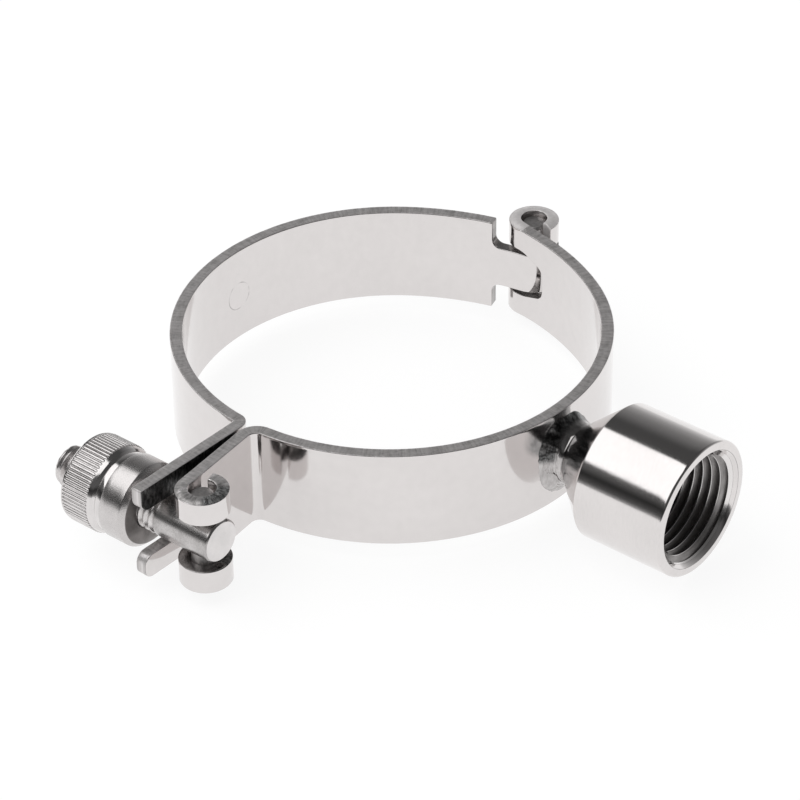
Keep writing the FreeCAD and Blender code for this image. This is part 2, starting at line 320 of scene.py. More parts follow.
def steel(name, markSpot=None):
    # Stainless steel: cloudy tone, fine grain with relief, and small dark specks
    look = finishes[name]
    material = bpy.data.materials.new(name)
    tree = emptied(material)
    place = mapped(tree, "UV" if look.get("onSheet") else "Object")
    broad = grainNoise(tree, place, look["broad"], 4.0, 0.6)
    grain = grainNoise(tree, place, look["grain"], 5.0, 0.6)
    specks = spanned(tree, grainNoise(tree, place, speckScale, 2.0, 0.5), *noiseCuts["specks"],
                     0.0, look.get("speckle", 0.0) * 2)
    mixed = sums(tree, "ADD", times(tree, broad, 0.5), times(tree, grain, 0.5))
    spread = spanned(tree, mixed, *noiseCuts["grain"])
    darkness = sums(tree, "MAXIMUM", sums(tree, "SUBTRACT", 1.0, spread), specks)
    colour = blendTone(tree, darkness, (*look["tone"], 1), (*look["dark"], 1))
    smoothest, roughest = look["roughness"]
    relief = made(tree, "ShaderNodeBump", {
        "Strength": look["bump"], "Distance": look.get("depth", 0.04 * mm), "Height": grain})
    if markSpot:
        mark = ringMark(tree, place, markSpot)
        colour = blendTone(tree, times(tree, mark, grain), colour, witnessMark["tone"])
        relief = made(tree, "ShaderNodeBump", {
            "Strength": witnessMark["relief"], "Distance": witnessMark["depth"],
            "Normal": relief, "Height": mark})
    shader = made(tree, "ShaderNodeBsdfPrincipled", {
        "Base Color": colour, "Metallic": 1 - look.get("matt", 0.0),
        "Roughness": spanned(tree, spread, 0.0, 1.0, roughest, smoothest), "Normal": relief})
    put(tree, "ShaderNodeOutputMaterial", {"Surface": shader})
    return material


def overlay(tree, mask, tone, roughness):
    # Another tone and roughness over a finish, where the mask is 1
    shader = next(node for node in tree.nodes if node.type == "BSDF_PRINCIPLED")
    colour, rough = shader.inputs["Base Color"], shader.inputs["Roughness"]
    tree.links.new(blendTone(tree, mask, colour.links[0].from_socket, tone), colour)
    under = rough.links[0].from_socket
    tree.links.new(spanned(tree, mask, 0.0, 1.0, under, roughness), rough)


def stainAndShade(material, look, *moreFades):
    # A darker overlay, for wear, heat tint, and painted shade and dark reflection; it lies where all
    # its fades (axis, 0 at, 1 at) are up, and its scratches run from deep to light
    tree = material.node_tree
    place = mapped(tree, look["source"])
    parts = parted(tree, place)
    mask = 1.0
    for axis, zeroAt, oneAt in (*look["fades"], *moreFades):
        mask = times(tree, mask, spanned(tree, parts[axis], zeroAt, oneAt, smooth=True))
    grain = grainNoise(tree, place, look["scratch"], 5.0, 0.7)
    tone = spanned(tree, grain, *noiseCuts["scratches"], look["deep"], look["light"])
    overlay(tree, mask, tone, look["roughness"])


materials = {name: steel(name) for name in finishes}
print("finishes made:", len(materials))


# The two half bands, each one strip of sheet bent along a path

ring = dict(
    lengths(boreRadius=38.05, sheet=2.3, width=19, edgeRound=0.16, hingeSwell=0.62, eyeSwell=0.36),
    crownAt=0.7, outsideShift=0.5)
hingePlace = shapeCentre("hinge_pin")
eyePlace = shapeCentre("eye_pin")
boltAxis = shapeCentre("swing_bolt")
hingeTurn = dict(lengths(pinRadius=2.45, play=0.05), flare=32.5, knuckleEnd=-12, tongueWrap=270)
fork = dict(
    lengths(bendRadius=2.6, faceX=-0.55, slotWidth=9.7, rootShift=0.2, tipRadius=2.0,
            cornerRadius=1.7, pastBolt=7.3, dullFade=2.5), lean=1.9)
eyeLug = dict(
    lengths(bendRadius=4.0, plateX=-0.19, pinRadius=2.45, window=10, windowDepth=6.4,
            windowCorner=1.5), wrapEnd=110, worn=((10.2 * mm, 11.0 * mm), (19.5 * mm, 17.5 * mm)))
tongue = dict(lengths(width=8.3, shoulderCorner=1.7), shoulder=99.9)
knuckle = lengths(window=10, taper=1.95, taperLength=5.5, taperRound=8, pastRoll=1.6, corner=2.0)
# Painted dark reflection and shade on the inner face of the fork's upper part, with a noisy tone
forkPaintedShade = dict(
    source="UV", fades=[("X", ring["outsideShift"], 0.45), ("Y", -4.6 * mm, -2.6 * mm)],
    deep=0.04, light=0.24, scratch=(1700, 700, 1700), roughness=0.36)
eyeWear = dict(
    source="UV", fades=[], deep=0.10, light=0.62, scratch=(1500, 900, 1500), roughness=0.34)


class BentPath:
    # A run of lines and arcs walked by distance; left turns are positive
    def __init__(self, start, heading):
        self.runs = []
        self.length = 0.0
        self.place, self.heading = start.copy(), heading

    def go(self, size, turn=None):
        run = dict(begin=self.length, start=self.place.copy(), heading=self.heading, turn=turn)
        if turn is None:
            run["length"] = size
            self.place = self.place + polar(size, self.heading)
        else:
            side = 1 if turn > 0 else -1
            run.update(length=size * math.radians(abs(turn)), radius=size, side=side)
            run["centre"] = self.place + polar(size, self.heading + 90 * side)
            self.place = run["centre"] + polar(size, self.heading - 90 * side + turn)
            self.heading += turn
        self.length += run["length"]
        self.runs.append(run)
        return run

    def at(self, distance):
        run = next((r for r in self.runs if distance <= r["begin"] + r["length"]), self.runs[-1])
        moved = distance - run["begin"]
        if run["turn"] is None:
            return run["start"] + polar(moved, run["heading"]), run["heading"]
        turned = run["side"] * math.degrees(moved / run["radius"])
        spoke = run["heading"] - 90 * run["side"] + turned
        return run["centre"] + polar(run["radius"], spoke), run["heading"] + turned

    def where(self, test):
        # First distance at which test(place) turns true, found by halving
        step = 0.0002
        distance = 0.0
        while distance < self.length and not test(self.at(distance)[0]):
            distance += step
        low, high = distance - step, distance
        for _ in range(20):
            middle = (low + high) / 2
            low, high = (low, middle) if test(self.at(middle)[0]) else (middle, high)
        return high

    def cuts(self):
        # Distances at which the blank is sliced, closer together where it bends tightly
        places = []
        for run in self.runs:
            step = 0.004 if run["turn"] is None else min(0.0012, math.radians(4.5) * run["radius"])
            count = max(1, math.ceil(run["length"] / step))
            places += [run["begin"] + run["length"] * i / count for i in range(count)]
        return places[1:]


def flare(rollRadius, startAngle):
    hinge = hingePlace.xy
    reach = ring["boreRadius"] + rollRadius
    along = hinge.dot(polar(1, startAngle))
    shift = (hinge.length ** 2 - reach ** 2) / (2 * (reach - along))
    return ring["boreRadius"] + shift, directionOf(hinge - polar(-shift, startAngle))


def slottedPath():
    rollRadius = hingeTurn["pinRadius"] + hingeTurn["play"] + ring["sheet"]
    flareStart = directionOf(hingePlace.xy) + hingeTurn["flare"]
    flareRadius, flareEnd = flare(rollRadius, flareStart)
    bendReach = ring["boreRadius"] + fork["bendRadius"]
    bendAngle = 270 - math.degrees(math.asin((fork["bendRadius"] - fork["faceX"]) / bendReach))
    rollEnd = flareEnd - 180 + hingeTurn["tongueWrap"]
    path = BentPath(hingePlace.xy + polar(rollRadius, rollEnd), rollEnd - 90)
    path.go(rollRadius, -hingeTurn["tongueWrap"])
    path.go(flareRadius, flareStart - flareEnd)
    path.go(ring["boreRadius"], bendAngle - flareStart)
    path.go(fork["bendRadius"], -90 - fork["lean"] - (bendAngle - 270))
    tips = eyePlace.y - fork["pastBolt"]
    path.go((path.place.y - tips) / math.cos(math.radians(fork["lean"])))
    return path


def bossPath():
    rollRadius = hingeTurn["pinRadius"] + ring["sheet"]
    eyeRadius = eyeLug["pinRadius"] + ring["sheet"]
    flareStart = directionOf(hingePlace.xy) - hingeTurn["flare"]
    flareRadius, flareEnd = flare(rollRadius, flareStart)
    bendReach = ring["boreRadius"] + eyeLug["bendRadius"]
    bendAngle = math.degrees(math.asin((eyeLug["bendRadius"] + eyeLug["plateX"]) / bendReach)) - 90
    span = eyePlace.xy - polar(bendReach, bendAngle)
    drop = eyeRadius - eyeLug["bendRadius"]
    plateHeading = directionOf(span) - math.degrees(math.asin(drop / span.length))
    knuckleEnd = hingeTurn["knuckleEnd"]
    path = BentPath(hingePlace.xy + polar(rollRadius, knuckleEnd), knuckleEnd + 90)
    path.go(rollRadius, flareEnd + 180 - knuckleEnd)
    path.go(flareRadius, flareStart - flareEnd)
    path.go(ring["boreRadius"], bendAngle - flareStart)
    path.go(eyeLug["bendRadius"], plateHeading - (bendAngle - 90))
    path.go(math.sqrt(span.length ** 2 - drop ** 2))
    path.go(eyeRadius, eyeLug["wrapEnd"] - (plateHeading - 90))
    return path


def slottedBlank(path):
    half = ring["width"] / 2
    slim = tongue["width"] / 2
    slot = fork["slotWidth"] / 2
    shoulder = path.where(lambda p: p.x < 0 and p.y > 0 and directionOf(p) > tongue["shoulder"]
                          and p.length < ring["boreRadius"] * 1.06)
    rootY = eyePlace.y + fork["rootShift"] + slot
    root = path.where(lambda p: p.y < rootY)
    end = path.length
    tip = fork["tipRadius"]
    small = 0.25 * mm
    return roundedPath([
        (0, -slim, small), (0, slim, small), (shoulder, slim, tongue["shoulderCorner"]),
        (shoulder, half, small), (end, half, small), (end, slot, tip), (root, slot, slot * 0.995),
        (root, -slot, slot * 0.995), (end, -slot, tip), (end, -half, fork["cornerRadius"]),
        (shoulder, -half, small), (shoulder, -slim, tongue["shoulderCorner"])])


def bossBlank(path):
    half = ring["width"] / 2
    gap = knuckle["window"] / 2
    eyeGap = eyeLug["window"] / 2
    rollRadius = hingeTurn["pinRadius"] + hingeTurn["play"] + ring["sheet"]
    right = hingePlace.x + rollRadius + knuckle["pastRoll"]
    firstRoll = path.runs[0]["length"]
    window = path.where(lambda p: p.x > right and p.y < hingePlace.y - rollRadius / 2)
    window = max(window, firstRoll)
    taperStart = window - knuckle["taperLength"]
    taperRound, corner = knuckle["taperRound"], knuckle["corner"]
    eyeTop = path.where(lambda p: p.y < eyePlace.y + eyeLug["windowDepth"])
    eyeCorner = eyeLug["windowCorner"]
    end = path.length
    small = 0.3 * mm
    return roundedPath([
        (0, -half, small), (0, -gap, small), (taperStart, -gap, taperRound),
        (window, knuckle["taper"] - gap, corner), (window, gap - knuckle["taper"], corner),
        (taperStart, gap, taperRound), (0, gap, small), (0, half, small), (end, half, small),
        (end, eyeGap, small), (eyeTop, eyeGap, eyeCorner), (eyeTop, -eyeGap, eyeCorner),
        (end, -eyeGap, small), (end, -half, small)])


def edgeFinish(path, spot):
    # Cut round tongue and window (smoother, with a darker tone of painted shade), rolled at the hinge,
    # torn round the eye, sheared elsewhere
    sheared, rolled, torn, cut = 1, 2, 3, 4
    last = path.runs[-1]
    inside = ring["width"] / 2 - abs(spot.y) > 0.4 * mm
    if inside and 0.5 * mm < spot.x < path.length - 9 * mm:
        return cut
    if spot.x < path.runs[0]["length"] + 1.5 * mm:
        return rolled
    if last["turn"] is not None and spot.x > last["begin"] + 1.0 * mm:
        return torn
    return sheared


def rollBulge(path, spot):
    # In a tight roll the sheet's edge swells into a crown, and slopes down to the outer side
    edge = ring["width"] / 2 - abs(spot.y)
    if edge > 0.3 * mm:
        return 0.0
    rise = 0.0
    for run, swell in ((path.runs[0], ring["hingeSwell"]), (path.runs[-1], ring["eyeSwell"])):
        if run["turn"] is None:
            continue
        outside = max(run["begin"] - spot.x, spot.x - run["begin"] - run["length"])
        rise += swell * min(1.0, max(0.0, 1 - outside / (3 * mm)))
    share = min(1.0, max(0.0, spot.z / ring["sheet"]))
    return math.copysign(rise * (0.8 - (1 - share / ring["crownAt"]) ** 2), spot.y)


def bentSheet(name, path, blank, side, faces):
    # The blank is cut flat, its edges are rounded, then every point is moved onto the path
    build = bmesh.new()
    thick = ring["sheet"]
    face = build.faces.new([build.verts.new((p.x, p.y, 0)) for p in blank])
    raised = bmesh.ops.extrude_face_region(build, geom=[face])["geom"]
    top = [v for v in raised if isinstance(v, bmesh.types.BMVert)]
    bmesh.ops.translate(build, verts=top, vec=(0, 0, thick))
    build.normal_update()
    rims = [e for e in build.edges if abs(e.verts[0].co.z - e.verts[1].co.z) < 1e-9]
    bmesh.ops.bevel(build, geom=rims, offset=ring["edgeRound"], segments=2, profile=0.5, affect="EDGES")
    nearEdge = ring["width"] / 2 - 0.6 * mm
    layers = (0.14, 0.28, 0.42, 0.56, 0.7, 0.85)
    planes = [((s, 0, 0), (1, 0, 0)) for s in path.cuts()]
    planes += [((0, y, 0), (0, 1, 0)) for y in (-nearEdge, nearEdge)]
    planes += [((0, 0, thick * share), (0, 0, 1)) for share in layers]
    for point, normal in planes:
        everything = build.verts[:] + build.edges[:] + build.faces[:]
        bmesh.ops.bisect_plane(build, geom=everything, plane_co=point, plane_no=normal, dist=1e-7)
    bmesh.ops.recalc_face_normals(build, faces=build.faces)
    sheetMap = build.loops.layers.uv.new("sheet")
    for polygon in build.faces:
        middle = polygon.calc_center_median()
        flat = abs(polygon.normal.z) > 0.9
        polygon.material_index = 0 if flat else edgeFinish(path, middle)
        polygon.smooth = True
        shift = ring["outsideShift"] if flat and middle.z > thick / 2 else 0
        for loop in polygon.loops:
            co = loop.vert.co
            loop[sheetMap].uv = (co.x + shift, co.y if flat else co.z)
    for vert in build.verts:
        place, heading = path.at(vert.co.x)
        spot = place + polar(vert.co.z, heading + 90 * side)
        vert.co = Vector((spot.x, spot.y, vert.co.y + rollBulge(path, vert.co)))
    mesh = finished(build, name)
    mesh.materials.append(faces)
    return paint(mesh, ("shearedEdge", "rolledEdge", "tornEdge", "shadedCutEdge"))


slottedWay = slottedPath()
markAt = slottedWay.where(lambda p: p.x < 0 and directionOf(p) % 360 > witnessMark["angle"])
markedAndShadedSheet = steel("polishedSheet", (markAt, witnessMark["height"], 0))
forkStart = slottedWay.runs[-1]["begin"]
# Painted dark reflection and shade on the fork's inner face, fading in from the fork's start
stainAndShade(markedAndShadedSheet, forkPaintedShade, ("X", forkStart, forkStart + fork["dullFade"]))
slottedMesh = bentSheet("slottedHalf", slottedWay, slottedBlank(slottedWay), -1, markedAndShadedSheet)
evenPiece("slottedHalf", slottedMesh, "slotted_half", "band", "slotted_half_band")

bossWay = bossPath()
eyeStart = bossWay.runs[-1]["begin"]
wornSpan = [("X", eyeStart + zeroAt, eyeStart + oneAt) for zeroAt, oneAt in eyeLug["worn"]]
stainAndShade(materials["tornEdge"], eyeWear, *wornSpan)
bossMesh = bentSheet("bossHalf", bossWay, bossBlank(bossWay), 1, materials["polishedSheet"])
evenPiece("bossHalf", bossMesh, "boss_half", "band", "boss_half_band")
stripLengths = [round(way.length / mm, 1) for way in (slottedWay, bossWay)]
print("half bands bent from strips of", stripLengths, "mm")


# Pins

pins = dict(hingePin=("hinge_pin", 0.1 * mm), eyePin=("eye_pin", 0.4 * mm),
            chamfer=0.5 * mm, dome=0.06 * mm, edge=0.08 * mm)


def pinMesh(name, node, sunk):
    low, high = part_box(node)
    radius = (high.x - low.x) / 2
    half = (high.z - low.z) / 2 - sunk
    chamfer, dome, small = pins["chamfer"], pins["dome"], pins["edge"]
    flat = radius - chamfer
    profile = roundedPath([
        (-half, 0, 0), (-half + dome, flat * 0.6, 0), (-half + dome, flat, small),
        (-half + dome + chamfer, radius, small), (half - dome - chamfer, radius, small),
        (half - dome, flat, small), (half - dome, flat * 0.6, 0), (half, 0, 0)])
    points = [(p.x, p.y) for p in profile]
    return paint(turnedMesh(name, points, 64, shapeCentre(node), (0, 0, 1)), ["dullPin"])


for pinName in ("hingePin", "eyePin"):
    node, sunk = pins[pinName]
    evenPiece(pinName, pinMesh(pinName, node, sunk), "boss_half", "pin", node)
print("pins turned")


# Geometry node trees

def openTree(name, inputs):
    tree = bpy.data.node_groups.new(name, "GeometryNodeTree")
    face = tree.interface
    for label, kind in (("Geometry", "Geometry"), *inputs, ("Material", "Material")):
        face.new_socket(label, in_out="INPUT", socket_type="NodeSocket" + kind)
    face.new_socket("Geometry", in_out="OUTPUT", socket_type="NodeSocketGeometry")
    return tree, put(tree, "NodeGroupInput").outputs


def closeTree(tree, geometry, material):
    smooth = made(tree, "GeometryNodeSetShadeSmooth", {"Geometry": geometry})
    real = made(tree, "GeometryNodeRealizeInstances", {"Geometry": smooth})
    painted = made(tree, "GeometryNodeSetMaterial", {"Geometry": real, "Material": material})
    put(tree, "NodeGroupOutput", {"Geometry": painted})
    return tree


def fromEnds(tree):
    # 0 at both ends of a curve, 0.5 in its middle
    along = put(tree, "GeometryNodeSplineParameter").outputs["Factor"]
    return sums(tree, "MINIMUM", along, sums(tree, "SUBTRACT", 1.0, along))


# Threads: a ridge swept along a helix, thinning out at both ends

def threadTree():
    measures = ("Turns", "Pitch", "Base radius", "Ridge height", "Sink", "Run out", "Start turn")
    tree, given = openTree("threadRidge", [
        *((label, "Float") for label in measures), ("Profile points", "Int"), ("Points a turn", "Int")])
    helix = made(tree, "GeometryNodeCurveSpiral", {
        "Resolution": given["Points a turn"], "Rotations": given["Turns"],
        "Start Radius": given["Base radius"], "End Radius": given["Base radius"],
        "Height": times(tree, given["Turns"], given["Pitch"])})
    runOut = sums(tree, "DIVIDE", given["Run out"], given["Turns"])
    fade = spanned(tree, fromEnds(tree), 0.0, runOut, 0.02, 1.0, smooth=True)
    helix = made(tree, "GeometryNodeSetCurveNormal", {"Curve": helix}, mode="Z_UP")
    # Half a circle becomes the rounded ridge, the other half its sunken foot
    circle = made(tree, "GeometryNodeCurvePrimitiveCircle", {
        "Resolution": given["Profile points"], "Radius": 1.0}, mode="RADIUS")
    spot = parted(tree, made(tree, "GeometryNodeInputPosition"))
    wide = times(tree, spot["X"], times(tree, given["Pitch"], 0.5))
    # Nearly straight flanks with a small round at crest and root; the profile's x points inwards
    sharp = 0.996
    wave = sums(tree, "COSINE", times(tree, spot["X"], math.pi))
    flanks = sums(tree, "ARCSINE", times(tree, wave, sharp))
    rise = sums(tree, "ADD", times(tree, flanks, 0.5 / math.asin(sharp)), 0.5)
    crest = times(tree, rise, times(tree, given["Ridge height"], -1.0))
    upper = sums(tree, "GREATER_THAN", spot["Y"], 0.001)
    tall = sums(tree, "ADD", times(tree, crest, upper),
                times(tree, given["Sink"], sums(tree, "SUBTRACT", 1.0, upper)))
    shaped = made(tree, "GeometryNodeSetPosition", {
        "Geometry": circle, "Position": combined(tree, tall, wide)})
    ridge = made(tree, "GeometryNodeCurveToMesh", {
        "Curve": helix, "Profile Curve": shaped, "Scale": fade, "Fill Caps": True})
    turn = combined(tree, z=times(tree, given["Start turn"], 2 * math.pi))
    turned = made(tree, "GeometryNodeTransform", {"Geometry": ridge, "Rotation": turn})
    return closeTree(tree, turned, given["Material"])


def grown(name, tree, values, place):
    # Runs a node tree once on an empty mesh, and lays what it gives along x from the place
    carrier = linked(name, bpy.data.meshes.new(name))
    nodes = carrier.modifiers.new("grow", "NODES")
    nodes.node_group = tree
    for socket in tree.interface.items_tree:
        if socket.in_out == "INPUT" and socket.name in values:
            nodes[socket.identifier] = values[socket.name]
    mesh = baked(carrier)
    alongX = Vector((0, 0, 1)).rotation_difference(Vector((1, 0, 0))).to_matrix().to_4x4()
    mesh.transform(Matrix.Translation(place) @ alongX)
    return mesh


threads = threadTree()


def threadMesh(name, values, place):
    mesh = grown(name, threads, values, place)
    build = bmesh.new()
    build.from_mesh(mesh)
    bmesh.ops.remove_doubles(build, verts=build.verts, dist=1e-7)
    bmesh.ops.recalc_face_normals(build, faces=build.faces)
    build.to_mesh(mesh)
    build.free()
    return mesh


# Boss with its pipe thread

boss = dict(
    lengths(radius=12.8, mouthX=69, backX=50.5, backRound=0.7, neckRadius=5.6, neckX=43,
            majorRadius=10.48, crestRadius=9.315, sinkRadius=11.15, depth=16.5, drillCone=3,
            mouthRound=0.5, pitch=1.814, pastMouth=0.4), turns=8.2)
# Heat tint next to the weld, together with a painted dark reflection on the neck's upper side
neckHeatAndPaintedReflection = dict(
    source="Object", fades=[("X", 46.5 * mm, 44.0 * mm), ("Z", -1.6 * mm, 0.6 * mm)],
    deep=0.28, light=0.50, scratch=(900, 500, 500), roughness=0.12)


def bossProfile():
    mouth = boss["mouthX"]
    floor = mouth - boss["depth"]
    radius, neck, major = boss["radius"], boss["neckRadius"], boss["majorRadius"]
    sinkEnd = mouth - (boss["sinkRadius"] - major)
    inside = ring["boreRadius"] + ring["sheet"] * 0.4
    small = 0.1 * mm
    return roundedPath([
        (inside, 0, 0), (inside, neck, 0), (boss["neckX"], neck, 0.15 * mm),
        (boss["backX"], radius - 0.35 * mm, boss["backRound"]),
        (boss["backX"] + 0.4 * mm, radius, 0.3 * mm), (mouth, radius, boss["mouthRound"]),
        (mouth, boss["sinkRadius"], small), (sinkEnd, major, small),
        (floor + 1.0 * mm, major, small), (floor, boss["crestRadius"], small),
        (floor - boss["drillCone"], 0, 0)], steps=3)


def fineProfile(path, limit):
    # Splits long stretches, so that the turned rings stay fairly even
    points = []
    for i, here in enumerate(path):
        ahead = path[(i + 1) % len(path)]
        points.append(here)
        if here.y < 1e-7 and ahead.y < 1e-7:
            continue
        pieces = int((ahead - here).length / limit)
        points += [here.lerp(ahead, k / (pieces + 1)) for k in range(1, pieces + 1)]
    return [(p.x, p.y) for p in points]


def bossBody():
    sinkEnd = boss["mouthX"] - (boss["sinkRadius"] - boss["majorRadius"]) * 0.9
    boreEnd = boss["mouthX"] - boss["depth"] - boss["drillCone"]

    # The bore and a thin ring at the countersink's edge take the dark cut steel: painted shade inside
    # the hole, and a painted shaded line at the edge
    def boreAndEdgeShade(spot):
        radius = spot.yz.length
        bored = radius < boss["majorRadius"] * 1.02 and sinkEnd > spot.x > boreEnd
        return int(bored or abs(radius - boss["sinkRadius"]) < 0.07 * mm)

    mesh = turnedMesh("bossBody", fineProfile(bossProfile(), 1.6 * mm), 160)
    return paint(mesh, ("turnedBoss", "shadedCutSteel"), boreAndEdgeShade)


def threadSteel():
    # The flanks keep the dark tone, painted shade in the thread's grooves; the lit crests and the cut
    # faces on the countersink get a lighter, smoother finish
    crestBand, coneBand = 0.06 * mm, 0.025 * mm
    material = steel("shadedCutSteel")
    tree = material.node_tree
    parts = parted(tree, mapped(tree, "Object"))
    spoke = combined(tree, y=parts["Y"], z=parts["Z"])
    radius = measured(tree, "LENGTH", {0: spoke})
    crest = sums(tree, "LESS_THAN", radius, boss["crestRadius"] + crestBand)
    cone = sums(tree, "ADD", parts["X"], boss["sinkRadius"] - boss["mouthX"])
    offCone = sums(tree, "ABSOLUTE", sums(tree, "SUBTRACT", radius, cone))
    sunk = sums(tree, "LESS_THAN", offCone, coneBand)
    for mask, tone, roughness in ((crest, 0.66, 0.2), (sunk, 0.74, 0.14)):
        overlay(tree, mask, (tone, tone * 0.97, tone * 0.96, 1), roughness)
    return material


def carved(mesh, tool):
    # One mesh is cut out of the other
    body, cutter = linked("blank", mesh), linked("cutter", tool)
    cut = body.modifiers.new("cut", "BOOLEAN")
    cut.object = cutter
    cut.operation = "DIFFERENCE"
    cut.solver = "EXACT"
    done = baked(body)
    done.name = mesh.name
    bpy.data.objects.remove(cutter)
    return done


def countersink():
    # The cone that cuts off the thread's last turns, a hair deeper than the boss's own
    mouth, radius, reach = boss["mouthX"], boss["sinkRadius"] + 0.01 * mm, 4 * mm
    return turnedMesh("countersink", [
        (mouth - reach, 0), (mouth - reach, radius - reach), (mouth + mm, radius + mm),
        (mouth + mm, 0)], 160)


# Heat tint and painted dark reflection on the neck
stainAndShade(materials["turnedBoss"], neckHeatAndPaintedReflection)
evenPiece("threadedBoss", bossBody(), "boss_half", "boss", "threaded_boss")
pipeStart = boss["mouthX"] + boss["pastMouth"] - boss["turns"] * boss["pitch"]
pipeThread = threadMesh("pipeThread", {
    "Turns": boss["turns"], "Pitch": boss["pitch"], "Base radius": boss["majorRadius"] - 0.01 * mm,
    "Ridge height": boss["crestRadius"] - boss["majorRadius"], "Sink": -0.08 * mm,
    "Run out": 0.25, "Start turn": -0.187, "Profile points": 32, "Points a turn": 96,
    "Material": threadSteel()}, (pipeStart, 0, 0))
pipeThread = carved(pipeThread, countersink())
pipeThread.set_sharp_from_angle(angle=math.radians(40))
newPiece("pipeThread", pipeThread, "boss_half", "boss")
print("boss turned and threaded")


# Weld bead: a hollow fillet with creases running round the neck, and one round drop

weld = dict(
    lengths(height=2.8, neckRadius=5.6, bury=0.25, bead=0.10, groove=0.19, ridge=0.06,
            dropRadius=1.5, dropRise=0.16),
    footRadii=(6.4, 6.4, 7.7, 8.9, 7.8, 8.3, 7.8, 7.0), creases=7, rows=84, columns=360,
    hollow=1.9, fray=0.22, fineFray=0.08, creaseSlope=4.5, fineSlope=3.5,
    dropPlace=(40.72 * mm, -5.95 * mm, -3.55 * mm),
    dropSides=((0.772, 0.636, 0.0), (-0.369, 0.448, 0.814)), rims=(1.08, 1.5), rimWidth=0.08)
# Heat tint on the weld's outer part, together with a painted dark reflection on its upper side
weldHeatAndPaintedReflection = dict(
    source="Object", fades=[("X", 42.3 * mm, 41.2 * mm), ("Z", 0.1 * mm, 1.9 * mm)],
    deep=0.03, light=0.22, scratch=(600, 1300, 1300), roughness=0.24)


def bandFront(y):
    outer = ring["boreRadius"] + ring["sheet"]
    return math.sqrt(outer ** 2 - y ** 2)


def footRadius(angle):
    # Eight measured radii round the neck, blended smoothly
    turn = angle / math.tau * 8
    here, blend = int(turn) % 8, turn % 1
    blend = blend * blend * (3 - 2 * blend)
    radii = weld["footRadii"]
    return (radii[here] * (1 - blend) + radii[(here + 1) % 8] * blend) * mm


def weldPoint(share, angle):
    # share runs from the neck (0) to the foot (1); the surface is x over the y, z plane
    across, upward = math.cos(angle), math.sin(angle)
    drop = Vector(weld["dropPlace"])
    # Near 1 on the drop's side, where the metal has run down
    slump = max(0.0, Vector((across, upward)).dot(drop.yz.normalized())) ** 2
    around = Vector((across, upward, 0))
    fray = noise.noise(around * 9 + Vector((0, 0, 3.7))) * weld["fray"]
    fray += noise.noise(around * 26) * weld["fineFray"]
    reach = footRadius(angle) - weld["neckRadius"] + fray * (0.4 + slump) * mm
    radius = weld["neckRadius"] + reach * share ** weld["hollow"]
    y, z = radius * across, radius * upward
    lift = weld["height"] * (1 - share) + weld["bead"] * (slump - 0.3) * min(1.0, (1 - share) * 14)
    flow = around * 1.7 + Vector((0, 0, share * weld["creases"]))
    wave = noise.noise(flow)
    finer = noise.noise(flow * 2.3 + Vector((4, 0, 9)))
    crease = max(0.0, 1 - abs(wave) * weld["creaseSlope"])
    crease += 0.7 * max(0.0, 1 - abs(finer) * weld["fineSlope"])
    middle = math.sin(math.pi * min(1.0, share * 1.02))
    fold = weld["ridge"] * (wave + 0.4 * finer) * middle * (0.35 + slump)
    x = bandFront(y) + 0.02 * mm + lift + fold
    away = Vector([(Vector((x, y, z)) - drop).dot(Vector(side)) for side in weld["dropSides"]]).length
    away /= weld["dropRadius"]
    if away < 1:
        return Vector((x + weld["dropRise"] * math.sqrt(1 - away ** 2), y, z))
    rim = sum(0.5 * math.exp(-((away - at) / weld["rimWidth"]) ** 2) for at in weld["rims"])
    return Vector((x - weld["groove"] * slump * (crease * middle + rim), y, z))


def weldMesh():
    # The bead's face, then its foot buried in the band, and its inner edge buried in the neck
    rows, columns, bury = weld["rows"], weld["columns"], weld["bury"]
    angles = [2 * math.pi * j / columns for j in range(columns)]
    grid = [[weldPoint(i / rows, angle) for angle in angles] for i in range(rows + 1)]
    grid.append([Vector((rim.x - bury, rim.y, rim.z)) for rim in grid[-1]])
    inner = []
    for angle in angles:
        side, upward = math.cos(angle), math.sin(angle)
        y, z = (weld["neckRadius"] - bury) * side, (weld["neckRadius"] - bury) * upward
        inner.append(Vector((bandFront(y) - bury, y, z)))
    grid.append(inner)
    mesh = paint(shell("weldBead", grid), ["weldBead"])
    mesh.shade_smooth()
    return mesh


# Heat tint and painted dark reflection on the weld's upper part
stainAndShade(materials["weldBead"], weldHeatAndPaintedReflection)
newPiece("weldBead", weldMesh(), "boss_half", "weld", "boss_weld")
print("weld laid")


# Swing bolt

bolt = lengths(radius=4, rootRadius=3.36, threadStart=-2.3, pitch=1.25, tailChamfer=0.3,
               tailRound=0.12, crushed=1.2, fineDent=0.12, broadDent=0.14, holePlay=0.05)


